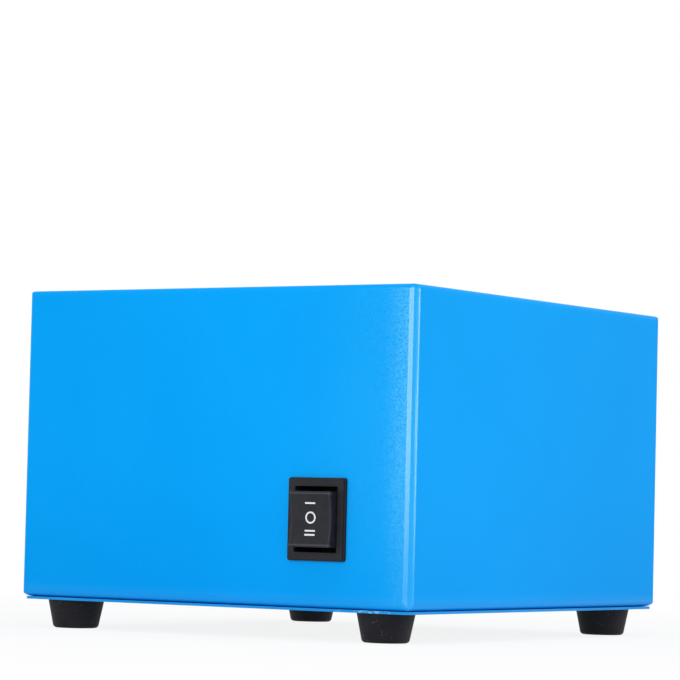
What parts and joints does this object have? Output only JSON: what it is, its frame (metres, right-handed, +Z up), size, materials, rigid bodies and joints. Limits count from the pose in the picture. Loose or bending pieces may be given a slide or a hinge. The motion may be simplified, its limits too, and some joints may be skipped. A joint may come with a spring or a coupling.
{
  "type": "watch dryer",
  "caption": "Blue sheet-steel box on rubber feet that blows warm air up through an expanded-metal grille, with a three-position rocker switch, axial fan and spiral heating element.",
  "frame": {"origin": "on the standing surface, under the middle of the object's box", "axes": "+Z up, the front face with the rocker switch faces -Y, +X to the right seen from the front"},
  "size_m": [0.18, 0.2078, 0.1324],
  "materials": {
    "blue_paint": "satin powder coat with a fine orange-peel texture",
    "grille_paint": "powder-coated expanded metal",
    "foot_rubber": "matt moulded rubber",
    "zinc_steel": "bright zinc plate",
    "black_oxide": "black oxide on steel",
    "switch_plastic": "satin black nylon with fine moulded texture",
    "white_print": "white pad print",
    "ivory_plastic": "natural nylon",
    "copper": "copper",
    "brass": "plain brass",
    "red_sleeve": "insulating sleeve",
    "fan_casting": "black painted die casting",
    "fan_plastic": "black moulded plastic",
    "laminated_steel": "varnished laminations",
    "silver_label": "silver foil label with a plain blue band",
    "element_sheath": "annealed steel tube, slightly heat-tinted",
    "white_ceramic": "unglazed ceramic",
    "brown_insulation": "flexible wire insulation",
    "blue_insulation": "flexible wire insulation",
    "white_insulation": "woven glass sleeve",
    "green_insulation": "green and yellow wire insulation",
    "gland_plastic": "black nylon"
  },
  "bodies": {
    "case": {"case_shell": "blue_paint", "corner_tabs": "blue_paint", "mesh_grille": "grille_paint", "base_plate": "blue_paint", "foot_front_left": "foot_rubber", "foot_front_right": "foot_rubber", "foot_rear_left": "foot_rubber", "foot_rear_right": "foot_rubber", "foot_screws": "zinc_steel", "foot_washers": "zinc_steel", "foot_nuts": "zinc_steel", "switch_housing": "switch_plastic", "switch_terminals": "brass", "wire_receptacles": "red_sleeve", "fan_frame": "fan_casting", "fan_bearings": "zinc_steel", "stator_core": "laminated_steel", "stator_windings": "copper", "fan_label": "silver_label", "fan_lugs": "brass", "fan_bolts": "black_oxide", "fan_nuts": "black_oxide", "heating_element": "element_sheath", "heater_brackets": "blue_paint", "heater_bushes": "element_sheath", "heater_nuts": "element_sheath", "heater_insulators": "white_ceramic", "heater_studs": "zinc_steel", "stud_nuts": "zinc_steel", "terminal_block": "gland_plastic", "terminal_inserts": "brass", "terminal_screws": "zinc_steel", "block_screws": "zinc_steel", "live_wire": "brown_insulation", "fan_live_wire": "brown_insulation", "fan_neutral_wire": "blue_insulation", "heater_live_wire": "white_insulation", "heater_neutral_wire": "white_insulation", "earth_wire": "green_insulation", "earth_stud": "zinc_steel", "earth_lug": "brass", "earth_nut": "zinc_steel", "cord_gland": "gland_plastic", "gland_nut": "gland_plastic"},
    "rocker": {"switch_rocker": "switch_plastic", "switch_marks": "white_print", "switch_plungers": "ivory_plastic", "switch_springs": "zinc_steel"},
    "levers": {"contact_levers": "copper"},
    "fan_rotor": {"fan_impeller": "fan_plastic", "rotor_cup": "zinc_steel", "fan_shaft": "zinc_steel"}
  },
  "joints": [
    {"name": "rocker_pivot", "type": "hinge", "parent": "case", "child": "rocker", "pos_m": [0.0493, -0.0945, 0.04505], "axis": [1, 0, 0], "range_deg": [-12, 12]},
    {"name": "lever_pivot", "type": "hinge", "parent": "case", "child": "levers", "pos_m": [0.0493, -0.0836, 0.04505], "axis": [1, 0, 0], "range_deg": [-9, 9]},
    {"name": "fan_spin", "type": "hinge", "parent": "case", "child": "fan_rotor", "pos_m": [0, 0.002, 0.03], "axis": [0, 0, 1], "continuous": true}
  ],
  "couplings": [
    {"joint": "lever_pivot", "follows": "rocker_pivot", "ratio": -0.5}
  ]
}
